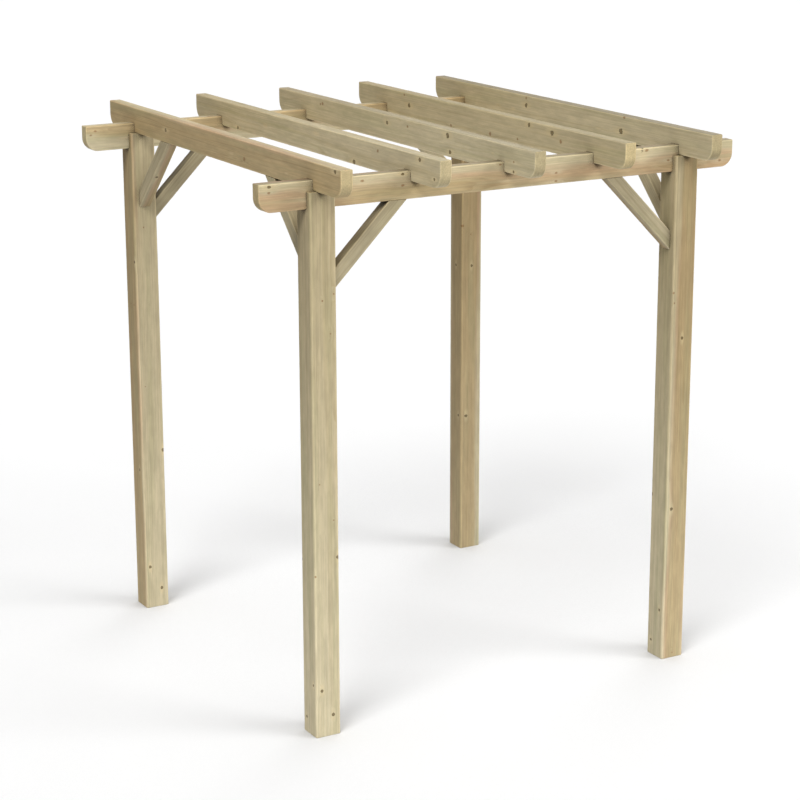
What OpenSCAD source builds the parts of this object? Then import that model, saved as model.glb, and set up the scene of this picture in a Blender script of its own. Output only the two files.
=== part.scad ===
// Timber pergola, an open frame of square-section softwood: four posts, two beams let into the
// post tops, five rafters notched over the beams, and a 45 degree knee brace on each inner post face.
// Frame: millimetres, origin on the ground midway between the four posts, +X along the beams,
// +Y along the rafters from front to back, +Z up. The part stands freely on its four post feet.

/* [Posts] */
// Side of the square post section
post_w = 100; // [80:5:150]
// Radius eased onto the long edges of a post
post_ease = 7; // [1:0.5:12]
// Distance between post centres along the beams
span_x = 1540; // [900:10:3600]
// Distance between post centres along the rafters
span_y = 1545; // [905:10:3605]
// Height of the clear space under the beams
beam_z = 1946; // [1800:2:2600]

/* [Beams] */
// Overall length of a beam
beam_len = 2000; // [1300:10:4200]
// Height of the beam section
beam_h = 100; // [80:2:200]
// Thickness of the beam section, and of the slot it drops into
beam_t = 47; // [30:1:60]

/* [Rafters] */
// Overall length of a rafter
rafter_len = 2000; // [1300:10:4200]
// Height of the rafter section
rafter_h = 100; // [80:2:200]
// Thickness of the rafter section
rafter_t = 47; // [30:1:60]
// Depth of the notch that drops each rafter over the beams
notch_d = 38; // [10:1:60]

/* [Edges] */
// Radius of the quarter round on the lower corner of every beam end and rafter end
end_r = 50; // [10:5:75]
// Radius eased onto the long edges of beams, rafters and braces
ease = 4; // [1:0.5:8]

/* [Knee braces] */
// Distance from the corner to the outer edge of a brace, along the post and along the timber above
brace_reach = 298; // [150:2:500]
// Depth of the brace section across its slope
brace_d = 52; // [30:2:80]
// Thickness of the brace section
brace_t = 47; // [30:1:60]

/* [Show] */

/* [Hidden] */
$fn = 96;
sx = span_x / 2;
sy = span_y / 2;
rafter_z = beam_z + beam_h - notch_d;
bays = 4;
pitch = span_x / bays;
mid_reach = brace_reach - brace_d / sqrt(2);
cut = 20;
wood = [0.76, 0.67, 0.48];
wood_light = [0.80, 0.71, 0.52];
wood_dark = [0.70, 0.61, 0.43];

// Rectangle a by b, centred, with its four corners rounded to radius r
module eased_section(a, b, r) {
  square([a - 2 * r, b], center = true);
  square([a, b - 2 * r], center = true);
  for (i = [-1, 1], j = [-1, 1])
    translate([i * (a / 2 - r), j * (b / 2 - r)]) circle(r);
}

// Side outline of a beam or rafter: both lower corners cut to a quarter round
module end_outline(len, h) {
  difference() {
    translate([-len / 2, 0]) square([len, h]);
    for (m = [0, 1]) mirror([m, 0])
      difference() {
        translate([len / 2 - end_r, -cut]) square([end_r + cut, end_r + cut]);
        translate([len / 2 - end_r, end_r]) circle(end_r);
      }
  }
}

// Straight timber along X with its underside at z = 0: eased section, rounded lower end corners
module shaped_timber(len, h, t) {
  intersection() {
    translate([-len / 2, 0, h / 2]) rotate([90, 0, 90])
      linear_extrude(len) eased_section(t, h, ease);
    translate([0, t / 2 + cut, 0]) rotate([90, 0, 0])
      linear_extrude(t + 2 * cut) end_outline(len, h);
  }
}

// Post with its foot on the ground and a slot across the top for the beam
module post(x, y) {
  color(wood)
  translate([x, y, 0])
    difference() {
      linear_extrude(rafter_z) eased_section(post_w, post_w, post_ease);
      translate([-post_w, -beam_t / 2, beam_z])
        cube([2 * post_w, beam_t, rafter_z - beam_z + cut]);
    }
}

module beam(y) {
  color(wood_dark)
  translate([0, y, beam_z]) shaped_timber(beam_len, beam_h, beam_t);
}

// Rafter i along Y, notched over both beams; 1 is over the left posts, bays + 1 over the right
module rafter(i) {
  color(wood_light)
  translate([-sx + (i - 1) * pitch, 0, rafter_z])
    difference() {
      rotate([0, 0, 90]) shaped_timber(rafter_len, rafter_h, rafter_t);
      for (y = [-sy, sy])
        translate([-rafter_t, y - beam_t / 2, -cut])
          cube([2 * rafter_t, beam_t, notch_d + cut]);
    }
}

// Brace in the XZ plane: the corner it closes is the origin, the post face is x = 0 and the
// underside above it is z = 0. Both ends are cut flush with those two planes.
module brace_bar() {
  intersection() {
    translate([0, -brace_t, -brace_reach - cut])
      cube([brace_reach + cut, 2 * brace_t, brace_reach + cut]);
    translate([mid_reach / 2, 0, -mid_reach / 2]) rotate([0, 45, 0])
      linear_extrude(2 * brace_reach, center = true) eased_section(brace_d, brace_t, ease);
  }
}

// Brace between a post and the beam; sides x and y are -1 or 1 for the corner
module brace_beam(x, y) {
  color(wood_light)
  translate([x * (sx - post_w / 2), y * sy, beam_z])
    mirror([x > 0 ? 1 : 0, 0, 0]) brace_bar();
}

// Brace between a post and the outer rafter; sides x and y are -1 or 1 for the corner
module brace_rafter(x, y) {
  color(wood_light)
  translate([x * sx, y * (sy - post_w / 2), rafter_z])
    rotate([0, 0, -90 * y]) brace_bar();
}

module post_front_left() { post(-sx, -sy); }
module post_front_right() { post(sx, -sy); }
module post_back_left() { post(-sx, sy); }
module post_back_right() { post(sx, sy); }
module beam_front() { beam(-sy); }
module beam_back() { beam(sy); }
module rafter_1() { rafter(1); }
module rafter_2() { rafter(2); }
module rafter_3() { rafter(3); }
module rafter_4() { rafter(4); }
module rafter_5() { rafter(5); }
module brace_front_left_beam() { brace_beam(-1, -1); }
module brace_front_right_beam() { brace_beam(1, -1); }
module brace_back_left_beam() { brace_beam(-1, 1); }
module brace_back_right_beam() { brace_beam(1, 1); }
module brace_front_left_rafter() { brace_rafter(-1, -1); }
module brace_front_right_rafter() { brace_rafter(1, -1); }
module brace_back_left_rafter() { brace_rafter(-1, 1); }
module brace_back_right_rafter() { brace_rafter(1, 1); }

post_front_left();
post_front_right();
post_back_left();
post_back_right();
beam_front();
beam_back();
rafter_1();
rafter_2();
rafter_3();
rafter_4();
rafter_5();
brace_front_left_beam();
brace_front_right_beam();
brace_back_left_beam();
brace_back_right_beam();
brace_front_left_rafter();
brace_front_right_rafter();
brace_back_left_rafter();
brace_back_right_rafter();
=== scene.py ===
"""Looks of the timber pergola: every CAD timber is remade with eased edges and its own softwood grain.

Each timber is built in its own frame, +X along the grain, and then placed where its CAD node is, so its
object coordinates are the timber's own: the growth rings, knots and end grain all follow from them.
"""

import math
import random
from dataclasses import dataclass, replace

import bmesh
import bpy
from mathutils import Matrix, Vector


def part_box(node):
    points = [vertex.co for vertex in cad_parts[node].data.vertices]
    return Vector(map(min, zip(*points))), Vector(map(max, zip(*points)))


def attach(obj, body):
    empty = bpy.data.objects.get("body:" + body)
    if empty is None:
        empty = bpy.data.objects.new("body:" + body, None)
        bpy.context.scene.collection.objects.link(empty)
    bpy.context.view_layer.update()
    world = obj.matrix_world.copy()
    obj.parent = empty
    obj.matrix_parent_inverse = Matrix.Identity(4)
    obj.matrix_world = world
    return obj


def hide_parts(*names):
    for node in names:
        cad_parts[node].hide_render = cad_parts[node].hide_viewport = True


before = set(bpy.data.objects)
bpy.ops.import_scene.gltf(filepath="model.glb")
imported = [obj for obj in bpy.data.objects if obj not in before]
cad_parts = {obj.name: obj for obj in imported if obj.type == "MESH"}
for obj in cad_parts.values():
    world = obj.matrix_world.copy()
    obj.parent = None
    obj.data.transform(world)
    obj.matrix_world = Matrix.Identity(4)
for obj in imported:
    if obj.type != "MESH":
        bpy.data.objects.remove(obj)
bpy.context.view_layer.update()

# ---------------------------------------------------------------- sizes, in metres
END_RADIUS = 0.050  # quarter round on the lower corner of beam and rafter ends
POST_EASE = 0.007  # rounding of a post's long edges
EASE = 0.004  # rounding of the other timbers' edges
CUT_EASE = 0.0020  # sanded edge of a saw cut
BRACE_DEPTH = 0.052
ARC_STEPS = 14
EASE_STEPS = 4
CUT_STEPS = 3
SHARP = math.radians(32)  # edges sharper than this stay crisp in shading
SQUARE = math.radians(40)  # edges sharper than this after the first rounding are saw cuts
RIM_SHARE = 0.45  # saw cuts further than this share of the length from the middle get the painted highlight

# ---------------------------------------------------------------- camera and light
# The camera's place, turn and lens come from a fit to the photo's perspective
CAMERA_AT = (-4.2738, -7.5440, 3.3493)
CAMERA_YAW = math.radians(29.518)  # from +Y towards +X
CAMERA_PITCH = math.radians(-15.348)
CAMERA_ROLL = math.radians(-0.13)
CAMERA_LENS = 101.05  # millimetres, on a sensor 36 mm wide
CAMERA_SENSOR = 36

# Soft lamps far off: degrees round from +X towards +Y, degrees up, strength and spread in degrees
LAMPS = {
    "key": (-43, 30, 1.70, 30),
    "fill": (216, 50, 2.20, 26),
    "front": (-90, 30, 1.00, 60),
    "back": (40, 38, 0.55, 30),
    "rim": (66, 12, 0.60, 60),
}
WORLD_LIGHT = 0.03
BOUNCE_AT = (-0.7, -1.6)  # the brightest part of the floor throws light back up
BOUNCE_RADIUS = 4.0
BOUNCE_POWER = 145
FLOOR_SEEN = 0.61  # share of the light that the floor shows to the camera
FLOOR_GLOW = 0.315  # its own glow besides, dimmed in corners and round the feet as a painted shadow
GLOW_REACH = 1.5  # metres within which the pergola dims that glow as a painted shadow
GLOW_FALL = 2.3  # how steeply it dims
FLOOR_UNSEEN = 0.02  # what the floor reflects onto the timbers, as the bounce lamp stands in for it
FLOOR_RADIUS = 120


def srgb(r, g, b):
    """A colour given as 0 to 255 screen values, as the linear values that shaders use."""
    out = []
    for v in (r, g, b):
        v /= 255
        out.append(v / 12.92 if v <= 0.04045 else ((v + 0.055) / 1.055) ** 2.4)
    return (*out, 1.0)


# ---------------------------------------------------------------- shader graph helper
class Graph:
    """Adds nodes to a material or world and wires them, so that a pattern reads like a formula."""

    def __init__(self, tree):
        self.tree = tree
        tree.nodes.clear()

    def node(self, kind, values=None, **settings):
        made = self.tree.nodes.new(kind)
        for key, value in settings.items():
            setattr(made, key, value)
        for key, value in (values or {}).items():
            self.put(value, made.inputs[key])
        return made

    def put(self, value, socket):
        if isinstance(value, bpy.types.NodeSocket):
            self.tree.links.new(value, socket)
        else:
            socket.default_value = value

    def math(self, how, a, b=0.0, c=0.0):
        made = self.node("ShaderNodeMath", operation=how)
        for value, socket in zip((a, b, c), made.inputs):
            self.put(value, socket)
        return made.outputs[0]

    def times(self, *factors):
        out = factors[0]
        for factor in factors[1:]:
            out = self.math("MULTIPLY", out, factor)
        return out

    def vector(self, how, a, b=(0, 0, 0), c=(0, 0, 0)):
        made = self.node("ShaderNodeVectorMath", operation=how)
        for value, socket in zip((a, b, c), made.inputs):
            self.put(value, socket)
        return made.outputs["Value" if how == "LENGTH" else "Vector"]

    def scaled(self, a, scale, shift=(0, 0, 0)):
        return self.vector("MULTIPLY_ADD", a, scale, shift)

    def split(self, a):
        return self.node("ShaderNodeSeparateXYZ", {0: a}).outputs

    def join(self, x, y, z):
        return self.node("ShaderNodeCombineXYZ", {0: x, 1: y, 2: z}).outputs[0]

    def noise(self, at, detail=2.0, rough=0.5):
        values = {"Vector": at, "Scale": 1.0, "Detail": detail, "Roughness": rough}
        made = self.node("ShaderNodeTexNoise", values)
        return made.outputs["Fac"], made.outputs["Color"]

    def noise_1d(self, w, detail=2.0):
        made = self.node("ShaderNodeTexNoise", noise_dimensions="1D")
        self.put(w, made.inputs["W"])
        self.put(1.0, made.inputs["Scale"])
        self.put(detail, made.inputs["Detail"])
        return made.outputs["Fac"]

    def step(self, x, low, high, to_low=0.0, to_high=1.0):
        """Smooth step of x from low to high, also for low above high."""
        if low > high:
            low, high, to_low, to_high = high, low, to_high, to_low
        made = self.node("ShaderNodeMapRange", interpolation_type="SMOOTHSTEP")
        for value, socket in zip((x, low, high, to_low, to_high), made.inputs):
            self.put(value, socket)
        return made.outputs[0]

    def mix(self, factor, a, b, how="MIX"):
        made = self.node("ShaderNodeMix", data_type="RGBA", blend_type=how)
        self.put(factor, made.inputs["Factor"])
        self.put(a, made.inputs[6])
        self.put(b, made.inputs[7])
        return made.outputs[2]


# ---------------------------------------------------------------- softwood
SAP, SAP_LATE = srgb(192, 180, 148), srgb(168, 152, 114)
HEART, HEART_LATE = srgb(178, 158, 119), srgb(146, 121, 82)
OLIVE = srgb(163, 159, 120)  # where the green treatment has gone in deepest
BLUSH = srgb(184, 150, 118)  # pinkish edge of the heartwood
END, END_LATE = srgb(190, 177, 140), srgb(160, 137, 95)
KNOT, KNOT_RIM, KNOT_HALO = srgb(98, 79, 42), srgb(54, 43, 22), srgb(204, 187, 146)
PIN = srgb(134, 98, 60)
PAINTED_NOOK_SHADE = srgb(46, 39, 25)  # painted shade: the dark colour laid into corners under overhangs between timbers
PALE_END, DEEP_END = (1.07, 1.08, 1.11, 1), (0.92, 0.88, 0.82, 1)  # paler and darker end of a timber
DULL = srgb(140, 132, 104)  # greyed by handling and rain
WHITE, YELLOWED = (1, 1, 1, 1), (1, 0.7, 0, 1)  # tints without and with all the blue taken out
WARM_TOP, WARM_END = 0.09, 0.07  # how much of that yellow tops and sawn ends take
EDGE_HIGHLIGHT = 1.24  # how much paler the rounded edges are painted: a painted highlight
NOOK_REACH = 0.07  # metres from an overhang within which shade is painted
NOOK_OPEN, NOOK_SHUT = 0.55, 0.24  # share of open air where the painted shade begins and where it is darkest
NOOK_SHADE_SHARE = 0.96  # how much of the wood's colour the painted shade replaces there
SKYWARD = (0, 0, 0.8)  # leans the search for overhangs upwards
BUMP_STRENGTH, BUMP_HEIGHT = 0.55, 0.0006
GLOSS = 0.28  # specular level of dry wood

FACES = {"y-": (1, -1), "y+": (1, 1), "z-": (2, -1), "z+": (2, 1)}
NO_KNOT = 99.0
KNOT_REACH = 26  # how deep a knot goes into the timber, besides its own size
PATCH_SHARE = 0.40  # a knot's length over that of the patch of grain it bends
BULGE = 9.0  # millimetres by which rings are pushed out beside a knot


@dataclass(frozen=True)
class Grain:
    """How one timber grew, in millimetres of its own frame.

    A knot is (along, face, across, radius): along is a share of the length from the foot,
    the left or the front end, and across is a share of the half width from the middle of the face.
    """

    pith: tuple  # where the middle of the tree lies across the timber
    heart: float = 35  # radius of the heartwood round the pith
    lean: tuple = (0.004, -0.003)  # sideways drift of the pith for each millimetre along
    wave: float = 10  # how far the rings stray from round
    ring: float = 3.6  # usual width of a ring
    shade: float = 1.0
    top: float = 0.84  # share of its colour the top face keeps: painted shade, drawing the top darker
    sawn: float = 1.0  # shade of its sawn ends against its sides
    warm: float = 0.0  # how much yellower than its fellows it is
    fade: float = 1.0  # how much it deepens from one end to the other
    stretch: float = 1.1  # a knot's length along the grain, over its width
    knots: tuple = ()  # dead knots, dark and ringed
    pins: tuple = ()  # small, faint, reddish ones
    spare: int = 4  # knots placed at random besides, on the two faces turned away


GRAINS = {
    "post_front_left": Grain(
        pith=(40, 62), heart=38, wave=7, shade=0.91,
        knots=((0.34, "z-", 0.9, 6), (0.09, "z-", -0.5, 5.5), (0.04, "z-", 0.4, 6),
               (0.33, "y-", 0.9, 5), (0.10, "y-", -0.6, 4), (0.03, "y-", 0.5, 5)),
        pins=((0.81, "z-", -0.1, 3.5), (0.82, "z-", 0.8, 3.5), (0.75, "z-", 0.5, 3), (0.48, "z-", -0.5, 3),
              (0.41, "z-", 0.6, 3), (0.31, "z-", -0.9, 3.5)),
    ),
    "post_front_right": Grain(
        pith=(15, -82), heart=54, wave=9, shade=0.87,
        knots=((0.31, "z-", -0.5, 6), (0.65, "z-", 0.0, 5.5), (0.33, "y-", 0.9, 5),
               (0.10, "y-", -0.5, 5), (0.03, "y-", 0.5, 5)),
        pins=((0.74, "z-", -0.9, 4), (0.72, "z-", -0.8, 3.5), (0.01, "z-", 0.0, 3.5)),
    ),
    "post_back_left": Grain(
        pith=(-74, 12), heart=60, wave=8, shade=0.87, fade=0.5,
        knots=((0.34, "z-", 0.9, 6), (0.09, "z-", -0.6, 5.5), (0.04, "z-", 0.4, 6),
               (0.30, "y-", -0.4, 5), (0.74, "y-", -0.8, 5)),
        pins=((0.81, "z-", -0.2, 3.5), (0.48, "z-", -0.5, 3), (0.65, "y-", 0.2, 4),
              (0.65, "y-", -0.4, 3.5)),
    ),
    "post_back_right": Grain(
        pith=(-46, -44), heart=74, wave=8, shade=0.78,
        knots=((0.31, "z-", -0.5, 6), (0.65, "z-", 0.0, 5), (0.31, "y-", -0.5, 5), (0.65, "y-", 0.0, 5)),
        pins=((0.74, "z-", -0.9, 5), (0.74, "y-", -0.9, 5), (0.72, "z-", -0.1, 3)),
    ),
    "beam_front": Grain(
        pith=(42, -22), heart=70, wave=14, shade=1.07, top=0.52, sawn=0.92, fade=0.0, stretch=1.6,
        knots=((0.02, "y-", 0.8, 4.5), (0.28, "y-", 0.8, 4), (0.79, "z+", -0.8, 4.5)),
        pins=((0.02, "y-", 0.4, 4), (0.20, "y-", 0.6, 5), (0.28, "y-", 0.0, 4.5), (0.48, "y-", 0.8, 3.5),
              (0.60, "y-", -0.2, 4), (0.60, "y-", -0.8, 4), (0.80, "y-", 0.8, 5), (0.85, "y-", -0.1, 4.5),
              (0.97, "y-", -0.5, 4.5)),
    ),
    "beam_back": Grain(
        pith=(-46, 30), heart=40, wave=12, shade=1.04, stretch=1.6,
        knots=((0.33, "y-", 0.0, 4.5),),
        pins=((0.02, "y-", 0.6, 4.5), (0.01, "y-", 0.3, 4), (0.27, "z+", -0.2, 5.5), (0.28, "z+", 0.3, 5.5),
              (0.50, "y-", 0.8, 5)),
    ),
    "rafter_1": Grain(
        pith=(32, -24), heart=74, wave=16, shade=1.09, top=0.76, sawn=0.95, fade=0.5,
        knots=((0.02, "y+", 0.8, 7), (0.72, "y+", 0.0, 7)),
        pins=((0.37, "y+", -0.3, 8),),
    ),
    "rafter_2": Grain(
        pith=(-96, -40), heart=40, shade=1.05, top=0.74, sawn=0.92,
        knots=((0.31, "y+", -0.8, 8), (0.80, "y+", -0.8, 6), (0.07, "y+", 0.7, 7), (0.02, "y+", -0.4, 5)),
        pins=((0.22, "y+", 0.5, 6),),
    ),
    "rafter_3": Grain(
        pith=(-92, 36), heart=42, wave=13, shade=1.04, top=0.58, sawn=0.82,
        knots=((0.30, "y+", 0.6, 9), (0.53, "y+", 0.4, 6.5), (0.29, "y+", -0.6, 7), (0.07, "y+", -0.8, 5)),
        pins=((0.45, "y+", 0.5, 5.5), (0.80, "y+", 0.6, 7), (0.81, "y+", 0.5, 5.5), (0.07, "y+", -0.1, 5)),
    ),
    "rafter_4": Grain(
        pith=(38, -74), heart=10, wave=12, shade=0.95, top=0.67, sawn=1.2, warm=0.07, fade=0.6,
        knots=((0.24, "y+", 0.5, 9), (0.78, "y+", 0.0, 8), (0.32, "y+", 0.7, 7)),
        pins=((0.46, "y+", -0.7, 8), (0.21, "y+", 0.0, 8), (0.80, "y+", 0.8, 5.5), (0.61, "y+", -0.8, 5.5),
              (0.36, "y+", -0.6, 5)),
    ),
    "rafter_5": Grain(
        pith=(10, 84), heart=10, wave=10, shade=0.99, top=0.43, sawn=0.84, warm=0.04,
        knots=((0.29, "y+", -0.2, 10), (0.63, "y+", 0.2, 8), (0.88, "y+", -0.7, 6)),
        pins=((0.28, "y+", 0.9, 7), (0.63, "y+", 0.8, 5.5)),
    ),
    "brace_front_left_beam": Grain(pith=(60, 20), shade=0.78, top=0.76, spare=1),
    "brace_front_right_beam": Grain(pith=(-48, -30), heart=44, shade=0.83, spare=1),
    "brace_back_left_beam": Grain(pith=(70, -20), shade=0.64, top=0.66, spare=1),
    "brace_back_right_beam": Grain(pith=(-70, 30), shade=0.95, spare=1),
    "brace_front_left_rafter": Grain(pith=(-60, 34), shade=0.86, spare=1),
    "brace_front_right_rafter": Grain(pith=(-66, -30), shade=0.76, spare=1),
    "brace_back_left_rafter": Grain(pith=(40, -40), heart=46, shade=0.8, spare=1),
    "brace_back_right_rafter": Grain(pith=(66, 40), shade=0.92, spare=1),
}


def knot_distances(g, at, half, knots, stretch):
    """Distance to the nearest knot in knot radii, and the same for the longer patch of grain it bends."""
    near, patch = NO_KNOT, NO_KNOT
    for along, face, across, radius in knots:
        axis, side = FACES[face]
        other = 3 - axis
        centre, size = [(2 * along - 1) * half[0], 0, 0], [radius * stretch, 0, 0]
        centre[axis], size[axis] = side * half[axis], KNOT_REACH + 2 * radius
        centre[other], size[other] = across * half[other], radius
        v = g.scaled(at, [1 / s for s in size], [-c / s for c, s in zip(centre, size)])
        near = g.math("MINIMUM", near, g.vector("LENGTH", v))
        longer = g.vector("MULTIPLY", v, (PATCH_SHARE, 1, 1))
        patch = g.math("MINIMUM", patch, g.vector("LENGTH", longer))
    return near, patch


def growth_rings(g, at, grain, seed, patch):
    """Distance from the pith, pushed out round knots, and how far into its late wood each point is."""
    shift = (seed * 917.3, seed * 311.7, seed * 131.9)
    x, y, z = g.split(at)
    _, warp = g.noise(g.scaled(at, (1 / 560, 1 / 90, 1 / 90), shift), 2.0, 0.45)
    warp = g.scaled(warp, (0, 2 * grain.wave, 2 * grain.wave), (0, -grain.wave, -grain.wave))
    pith_y = g.math("MULTIPLY_ADD", x, -grain.lean[0], -grain.pith[0])
    pith_z = g.math("MULTIPLY_ADD", x, -grain.lean[1], -grain.pith[1])
    across = g.vector("ADD", g.join(0.0, g.math("ADD", y, pith_y), g.math("ADD", z, pith_z)), warp)
    bulge = g.math("DIVIDE", BULGE, g.math("ADD", g.math("POWER", g.times(patch, 0.6), 3.0), 1.0))
    grown = g.math("ADD", g.vector("LENGTH", across), bulge)
    wander = g.noise_1d(g.math("MULTIPLY_ADD", grown, 1 / 17, seed * 7.1), 3.0)
    rings = g.math("ADD", g.math("DIVIDE", grown, grain.ring), g.times(wander, 2.2))
    phase = g.math("FRACT", rings)
    late = g.times(g.step(phase, 0.30, 0.90), g.step(phase, 1.0, 0.94))
    return grown, late


def softwood(name, half, grain, seed):
    """Pressure-treated softwood; half is half the timber's length, width and height in millimetres."""
    material = bpy.data.materials.new(name)
    material.use_nodes = True
    g = Graph(material.node_tree)
    at = g.scaled(g.node("ShaderNodeTexCoord").outputs["Object"], (1000, 1000, 1000))
    cut = g.node("ShaderNodeAttribute", attribute_name="end_grain").outputs["Fac"]
    end = g.step(cut, 0.35, 0.85)
    side = g.math("SUBTRACT", 1.0, end)
    shift = (seed * 51.0, seed * 7.0, seed * 3.0)

    # slow drifts of colour, blotches, streaks along the grain and single fibres
    _, drifts = g.noise(g.scaled(at, (1 / 620, 1 / 38, 1 / 38), shift), 3.0, 0.5)
    drift, green, blush = g.split(drifts)
    streak, _ = g.noise(g.scaled(at, (1 / 340, 1 / 6, 1 / 6), shift), 3.0, 0.6)
    _, blots = g.noise(g.scaled(at, (1 / 110, 1 / 26, 1 / 26), shift), 4.0, 0.62)
    blot, dull, _ = g.split(blots)
    fibre, _ = g.noise(g.scaled(at, (1 / 36, 1 / 0.8, 1 / 0.8), shift), 3.0, 0.6)
    speck, _ = g.noise(g.scaled(at, (1 / 16, 1 / 5, 1 / 5), shift), 2.0, 0.5)

    edge_bend = g.math("MULTIPLY_ADD", speck, 1.4, -0.7)
    near, patch = knot_distances(g, at, half, grain.knots, grain.stretch)
    near = g.math("ADD", near, edge_bend)
    pin_near, pin_patch = knot_distances(g, at, half, grain.pins, grain.stretch)
    pin_near = g.math("ADD", pin_near, edge_bend)
    grown, late = growth_rings(g, at, grain, seed, g.math("MINIMUM", patch, pin_patch))

    # sapwood outside, warmer heartwood near the pith, with a blush between them
    border = g.math("MULTIPLY_ADD", drift, 26.0, grain.heart - 13.0)
    inside = g.math("SUBTRACT", border, grown)
    heart = g.step(inside, -7.0, 9.0)
    rim = g.times(g.step(inside, -14.0, -2.0), g.step(inside, 12.0, 0.0), g.step(blush, 0.35, 0.65))
    crisp = g.step(drift, 0.35, 0.75, 0.10, 0.55)
    early_tone = g.mix(heart, SAP, HEART)
    late_tone = g.mix(heart, SAP_LATE, HEART_LATE)
    bands = g.noise_1d(g.math("MULTIPLY_ADD", grown, 1 / 12, seed * 3.7 + 40), 2.0)
    lines = g.math("MAXIMUM", g.times(late, crisp), g.step(bands, 0.50, 0.80, 0.0, 0.42))
    colour = g.mix(lines, early_tone, late_tone)
    colour = g.mix(g.times(g.step(green, 0.45, 0.70), 0.32), colour, OLIVE)
    colour = g.mix(g.times(rim, 0.55), colour, BLUSH)

    # sawn ends: rings drawn harder, and open pores
    pores, _ = g.noise(g.scaled(at, (1 / 2, 1 / 0.9, 1 / 0.9), shift), 3.0, 0.6)
    end_colour = g.mix(g.times(late, 0.55), END, END_LATE)
    end_colour = g.mix(g.step(pores, 0.45, 0.75, 0.0, 0.26), end_colour, END_LATE)
    colour = g.mix(g.times(end, 0.80), colour, end_colour)

    # knots, each in a lighter patch of grain
    halo = g.times(g.step(patch, 2.4, 0.9, 0.0, 0.5), side)
    body = g.times(g.step(near, 1.15, 0.75), side)
    ring = g.times(g.step(near, 1.20, 1.0), g.step(near, 0.55, 0.92), side)
    pin = g.times(g.step(pin_near, 1.25, 0.55), side)
    colour = g.mix(halo, colour, KNOT_HALO)
    colour = g.mix(g.times(pin, 0.75), colour, PIN)
    colour = g.mix(g.times(body, 0.82), colour, KNOT)
    colour = g.mix(g.times(ring, 0.65), colour, KNOT_RIM)

    # painted highlight: the rounded edges are drawn paler
    painted_highlight = g.node("ShaderNodeAttribute", attribute_name="painted_highlight").outputs["Fac"]
    shade = g.times(
        g.step(fibre, 0.2, 0.8, 0.93, 1.06), g.step(streak, 0.3, 0.7, 0.90, 1.08),
        g.step(blot, 0.32, 0.68, 0.94, 1.10),
        g.math("MULTIPLY_ADD", painted_highlight, EDGE_HIGHLIGHT - 1, 1.0),
        g.math("MULTIPLY_ADD", end, grain.sawn - 1, 1.0), grain.shade,
    )
    colour = g.mix(1.0, colour, g.join(shade, shade, shade), "MULTIPLY")
    along, _, up = g.split(at)
    deeper = g.step(along, -1000, 1000, 0.5 - grain.fade / 2, 0.5 + grain.fade / 2)
    colour = g.mix(1.0, colour, g.mix(deeper, PALE_END, DEEP_END), "MULTIPLY")
    # painted shade: the top face is drawn darker by the timber's top share
    on_top = g.step(up, half[2] - 2, half[2] - 0.2)
    top = g.math("MULTIPLY_ADD", on_top, grain.top - 1, 1.0)
    colour = g.mix(1.0, colour, g.join(top, top, top), "MULTIPLY")
    warm = g.math("ADD", g.math("MULTIPLY_ADD", on_top, WARM_TOP, grain.warm), g.times(end, WARM_END))
    colour = g.mix(1.0, colour, g.mix(warm, WHITE, YELLOWED), "MULTIPLY")
    colour = g.mix(g.times(g.step(dull, 0.52, 0.72), 0.10), colour, DULL)

    # painted shade where an overhang shelters the side of a timber, so the search looks half upwards
    upwards = g.vector("ADD", g.node("ShaderNodeNewGeometry").outputs["Normal"], SKYWARD)
    values = {"Distance": NOOK_REACH, "Normal": g.vector("NORMALIZE", upwards)}
    open_air = g.node("ShaderNodeAmbientOcclusion", values, samples=4).outputs["AO"]
    colour = g.mix(g.step(open_air, NOOK_OPEN, NOOK_SHUT, 0.0, NOOK_SHADE_SHARE), colour, PAINTED_NOOK_SHADE)

    rough = g.math("MULTIPLY_ADD", fibre, 0.16, 0.62)
    rough = g.math("SUBTRACT", rough, g.times(late, 0.07))
    rough = g.math("SUBTRACT", rough, g.times(body, 0.12))
    height = g.math("ADD", g.times(fibre, 0.35), g.times(late, 0.22))
    height = g.math("SUBTRACT", height, g.times(ring, 0.9))
    height = g.math("SUBTRACT", height, g.times(pores, end, 0.6))
    values = {"Strength": BUMP_STRENGTH, "Distance": BUMP_HEIGHT, "Height": height}
    bump = g.node("ShaderNodeBump", values)
    values = {"Base Color": colour, "Roughness": rough, "Specular IOR Level": GLOSS}
    shader = g.node("ShaderNodeBsdfPrincipled", values | {"Normal": bump.outputs[0]})
    out = g.node("ShaderNodeOutputMaterial")
    g.put(shader.outputs[0], out.inputs[0])
    return material


# ---------------------------------------------------------------- timber shapes
def quarter_round(x, height, side):
    """Points of a lower end corner, from the end face round to the underside; side is -1 or 1 along x."""
    out = []
    for i in range(ARC_STEPS + 1):
        a = math.pi / 2 * i / ARC_STEPS
        inset, rise = END_RADIUS * (1 - math.cos(a)), END_RADIUS * (1 - math.sin(a))
        out.append((side * (x - inset), rise - height / 2))
    return out


def rail_outline(length, height, notches=(), notch_width=0.0, notch_depth=0.0):
    """Side view of a beam or rafter, and the numbers of the edges to round: all but the notches'."""
    points, cuts = quarter_round(length / 2, height, -1), set()
    for centre in sorted(notches):
        cuts.update(range(len(points), len(points) + 3))
        points += [
            (centre + dx * notch_width / 2, dz * notch_depth - height / 2)
            for dx, dz in ((-1, 0), (-1, 1), (1, 1), (1, 0))
        ]
    points += reversed(quarter_round(length / 2, height, 1))
    points += [(length / 2, height / 2), (-length / 2, height / 2)]
    return points, [i for i in range(len(points)) if i not in cuts]


def round_edges(bm, edges, size, steps, rim=0.0):
    """Rounds edges and marks the new faces further out than rim in the layer of the painted highlight."""
    made = bmesh.ops.bevel(
        bm, geom=edges, offset=size, offset_type="OFFSET", segments=steps, profile=0.5,
        affect="EDGES", clamp_overlap=False,
    )
    layer = bm.faces.layers.float["painted_highlight"]
    for face in made["faces"]:
        face[layer] = float(abs(face.calc_center_median().x) >= rim)


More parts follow.
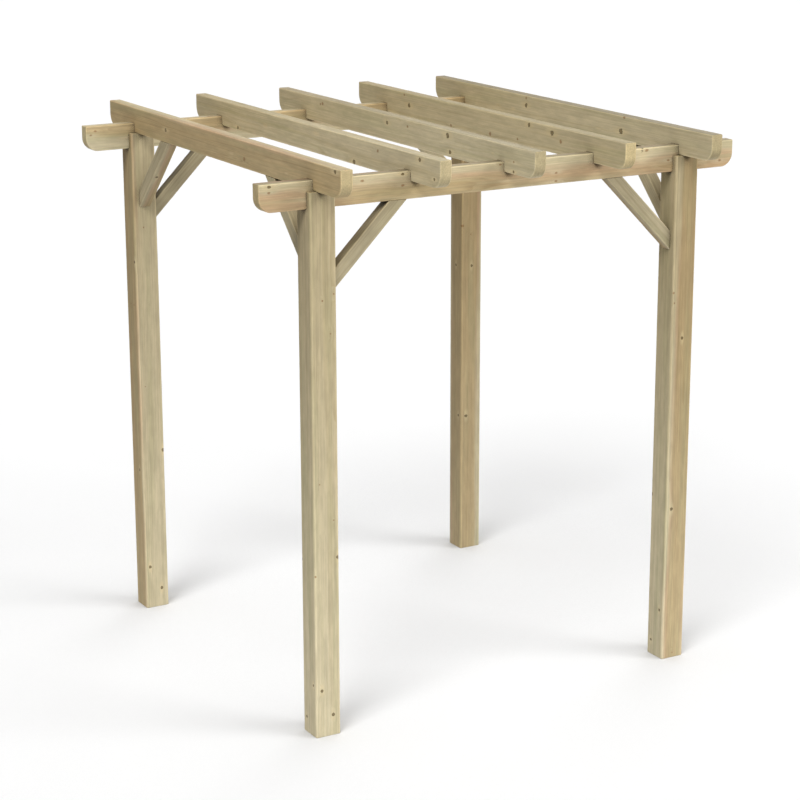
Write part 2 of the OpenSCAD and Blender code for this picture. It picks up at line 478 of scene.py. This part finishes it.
def timber(name, outline, arrises, depth, ease, rim, place, material):
    """Extrudes a side view across depth, rounds the arrises and the saw cuts, and places it."""
    bm = bmesh.new()
    bm.faces.layers.float.new("painted_highlight")
    front = [bm.verts.new((x, -depth / 2, z)) for x, z in outline]
    back = [bm.verts.new((x, depth / 2, z)) for x, z in outline]
    count = len(outline)
    bm.faces.new(front)
    bm.faces.new(list(reversed(back)))
    for i in range(count):
        j = (i + 1) % count
        bm.faces.new((front[j], front[i], back[i], back[j]))
    bmesh.ops.recalc_face_normals(bm, faces=bm.faces)
    edges = [bm.edges.get((ring[i], ring[(i + 1) % count])) for ring in (front, back) for i in arrises]
    round_edges(bm, edges, ease, EASE_STEPS)
    cuts = [e for e in bm.edges if e.is_manifold and e.calc_face_angle() > SQUARE and e.is_convex]
    round_edges(bm, cuts, CUT_EASE, CUT_STEPS, rim)

    mesh = bpy.data.meshes.new(name)
    bm.normal_update()
    slant = [abs(face.normal.x) for face in bm.faces]
    bm.to_mesh(mesh)
    bm.free()
    mesh.attributes.new("end_grain", "FLOAT", "FACE").data.foreach_set("value", slant)
    mesh.shade_smooth()
    mesh.set_sharp_from_angle(angle=SHARP)
    mesh.materials.append(material)
    piece = bpy.data.objects.new(name, mesh)
    bpy.context.scene.collection.objects.link(piece)
    piece.matrix_world = place
    flat = piece.modifiers.new("flat_faces", "WEIGHTED_NORMAL")
    flat.keep_sharp = True
    return piece


def placed(centre, along, up):
    """Matrix of a timber whose own +X runs along and whose own +Z is up."""
    along, up = Vector(along).normalized(), Vector(up).normalized()
    turn = Matrix((along, up.cross(along), up)).transposed().to_4x4()
    return Matrix.Translation(centre) @ turn


def middle(node):
    """Centre and size of a CAD node."""
    low, high = (Vector(corner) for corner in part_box(node))
    return (low + high) / 2, high - low


HIDDEN = {"post": ("y+", "z+"), "beam": ("y+", "z-"), "rafter": ("y-", "z-"), "brace": ("z-", "y+", "y-")}
RNG = random.Random(7)


def spare_knots(kind, count):
    """Knots at random places on the faces that the main view doesn't show."""
    out = []
    for _ in range(count):
        face = RNG.choice(HIDDEN[kind])
        along, across = RNG.uniform(0.04, 0.96), RNG.uniform(-0.7, 0.7)
        out.append((along, face, across, RNG.uniform(3, 7)))
    return tuple(out)


def finish_timber(node, kind, outline, arrises, section, ease, place):
    """Makes one timber with its own wood; section is its width along local Y and height along local Z."""
    grain = GRAINS[node]
    length = max(x for x, _ in outline) - min(x for x, _ in outline)
    half = [500 * size for size in (length, *section)]
    grain = replace(grain, knots=grain.knots + spare_knots(kind, grain.spare))
    material = softwood(node + "_wood", half, grain, 1 + list(GRAINS).index(node))
    rim = length if kind == "brace" else RIM_SHARE * length  # a brace's saw cuts lie in the joints
    piece = timber(node + "_timber", outline, arrises, section[0], ease, rim, place, material)
    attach(piece, "root")
    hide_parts(node)


def make_post(corner):
    """Post with a slot across its top, in which the beam lies between two cheeks."""
    node = "post_" + corner
    centre, size = middle(node)
    beam_low, beam_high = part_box("beam_front")
    seat, slot = beam_low[2] - centre.z, (beam_high[1] - beam_low[1]) / 2
    top, side = size.z / 2, size.y / 2
    outline = [
        (-top, -side), (top, -side), (top, -slot), (seat, -slot),
        (seat, slot), (top, slot), (top, side), (-top, side),
    ]
    place = placed(centre, (0, 0, 1), (0, 1, 0))
    finish_timber(node, "post", outline, (0, 6), (size.x, size.y), POST_EASE, place)


def make_beam(node):
    centre, size = middle(node)
    outline, arrises = rail_outline(size.x, size.z)
    place = placed(centre, (1, 0, 0), (0, 0, 1))
    finish_timber(node, "beam", outline, arrises, (size.y, size.z), EASE, place)


def make_rafter(node):
    """Rafter with a notch over each beam."""
    centre, size = middle(node)
    low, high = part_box("beam_front")
    rows = [middle(beam)[0].y - centre.y for beam in ("beam_front", "beam_back")]
    depth = high[2] - (centre.z - size.z / 2)
    outline, arrises = rail_outline(size.y, size.z, rows, high[1] - low[1], depth)
    place = placed(centre, (0, 1, 0), (0, 0, 1))
    finish_timber(node, "rafter", outline, arrises, (size.x, size.z), EASE, place)


def make_brace(row, column, kind):
    """Brace at 45 degrees, both ends cut flush with the post and the timber above."""
    node = f"brace_{row}_{column}_{kind}"
    centre, size = middle(node)
    away_x, away_y = (1 if column == "left" else -1), (1 if row == "front" else -1)
    inward = Vector((away_x, 0, 0)) if kind == "beam" else Vector((0, away_y, 0))
    up = Vector((0, 0, 1))
    outer = size.z * math.sqrt(2) / 2
    inner, half_depth = outer - BRACE_DEPTH, BRACE_DEPTH / 2
    outline = [(-outer, -half_depth), (outer, -half_depth), (inner, half_depth), (-inner, half_depth)]
    place = placed(centre + (up - inward) * BRACE_DEPTH / math.sqrt(8), inward + up, up - inward)
    thick = size.y if kind == "beam" else size.x
    finish_timber(node, "brace", outline, (0, 2), (thick, BRACE_DEPTH), EASE, place)


for corner in ("front_left", "front_right", "back_left", "back_right"):
    make_post(corner)
for node in ("beam_front", "beam_back"):
    make_beam(node)
for i in range(1, 6):
    make_rafter(f"rafter_{i}")
for row in ("front", "back"):
    for column in ("left", "right"):
        make_brace(row, column, "beam")
        make_brace(row, column, "rafter")


# ---------------------------------------------------------------- floor, light and camera
def seen_directly(g):
    """1 for rays from the camera and for mirrored and transmitted ones, else 0."""
    path = g.node("ShaderNodeLightPath").outputs
    direct = g.math("MAXIMUM", path["Is Camera Ray"], path["Is Glossy Ray"])
    return g.math("MAXIMUM", direct, path["Is Transmission Ray"])


def grey(v):
    return (v, v, v, 1)


def make_floor():
    bm = bmesh.new()
    bmesh.ops.create_circle(bm, cap_ends=True, segments=64, radius=FLOOR_RADIUS)
    mesh = bpy.data.meshes.new("studio_floor")
    bm.to_mesh(mesh)
    bm.free()
    material = bpy.data.materials.new("studio_floor")
    material.use_nodes = True
    g = Graph(material.node_tree)
    dark = g.node("ShaderNodeBsdfDiffuse", {"Color": grey(FLOOR_UNSEEN)})
    seen = g.node("ShaderNodeBsdfDiffuse", {"Color": grey(FLOOR_SEEN)})
    # painted shadow: ambient occlusion dims the floor's glow near the pergola and round the feet
    open_sky = g.node("ShaderNodeAmbientOcclusion", {"Distance": GLOW_REACH}, samples=3).outputs["AO"]
    strength = g.times(g.math("POWER", open_sky, GLOW_FALL), FLOOR_GLOW)
    glow = g.node("ShaderNodeEmission", {"Color": grey(1), "Strength": strength})
    lit = g.node("ShaderNodeAddShader", {0: seen.outputs[0], 1: glow.outputs[0]})
    both = g.node("ShaderNodeMixShader", {0: seen_directly(g), 1: dark.outputs[0], 2: lit.outputs[0]})
    out = g.node("ShaderNodeOutputMaterial")
    g.put(both.outputs[0], out.inputs[0])
    mesh.materials.append(material)
    floor = bpy.data.objects.new("studio_floor", mesh)
    bpy.context.scene.collection.objects.link(floor)


def make_world():
    world = bpy.data.worlds.new("studio")
    bpy.context.scene.world = world
    world.use_nodes = True
    g = Graph(world.node_tree)
    strength = g.math("MULTIPLY_ADD", seen_directly(g), 1 - WORLD_LIGHT, WORLD_LIGHT)
    back = g.node("ShaderNodeBackground", {"Color": grey(1), "Strength": strength})
    out = g.node("ShaderNodeOutputWorld")
    g.put(back.outputs[0], out.inputs[0])


def make_lamp(name, around, up, power, spread):
    light = bpy.data.lights.new(name, "SUN")
    light.energy = power
    light.angle = math.radians(spread)
    lamp = bpy.data.objects.new(name, light)
    around, up = math.radians(around), math.radians(up)
    source = Vector((math.cos(around) * math.cos(up), math.sin(around) * math.cos(up), math.sin(up)))
    lamp.rotation_mode = "QUATERNION"
    lamp.rotation_quaternion = source.to_track_quat("Z", "Y")
    bpy.context.scene.collection.objects.link(lamp)


def make_bounce():
    """Light thrown up by the floor: an unseen round lamp that lies on it."""
    light = bpy.data.lights.new("bounce", "AREA")
    light.shape = "DISK"
    light.size = 2 * BOUNCE_RADIUS
    light.energy = BOUNCE_POWER
    lamp = bpy.data.objects.new("bounce", light)
    lamp.matrix_world = Matrix.Translation((*BOUNCE_AT, 0.001)) @ Matrix.Rotation(math.pi, 4, "X")
    lamp.visible_camera = lamp.visible_glossy = lamp.visible_transmission = False
    bpy.context.scene.collection.objects.link(lamp)


def make_camera():
    data = bpy.data.cameras.new("camera")
    data.lens = CAMERA_LENS
    data.sensor_width = CAMERA_SENSOR
    camera = bpy.data.objects.new("camera", data)
    turn = Matrix.Rotation(-CAMERA_YAW, 4, "Z") @ Matrix.Rotation(math.pi / 2 + CAMERA_PITCH, 4, "X")
    camera.matrix_world = Matrix.Translation(CAMERA_AT) @ turn @ Matrix.Rotation(CAMERA_ROLL, 4, "Z")
    bpy.context.scene.collection.objects.link(camera)
    bpy.context.scene.camera = camera


make_floor()
make_world()
for name, settings in LAMPS.items():
    make_lamp(name, *settings)
make_bounce()
make_camera()
bpy.context.scene.view_settings.view_transform = "Standard"
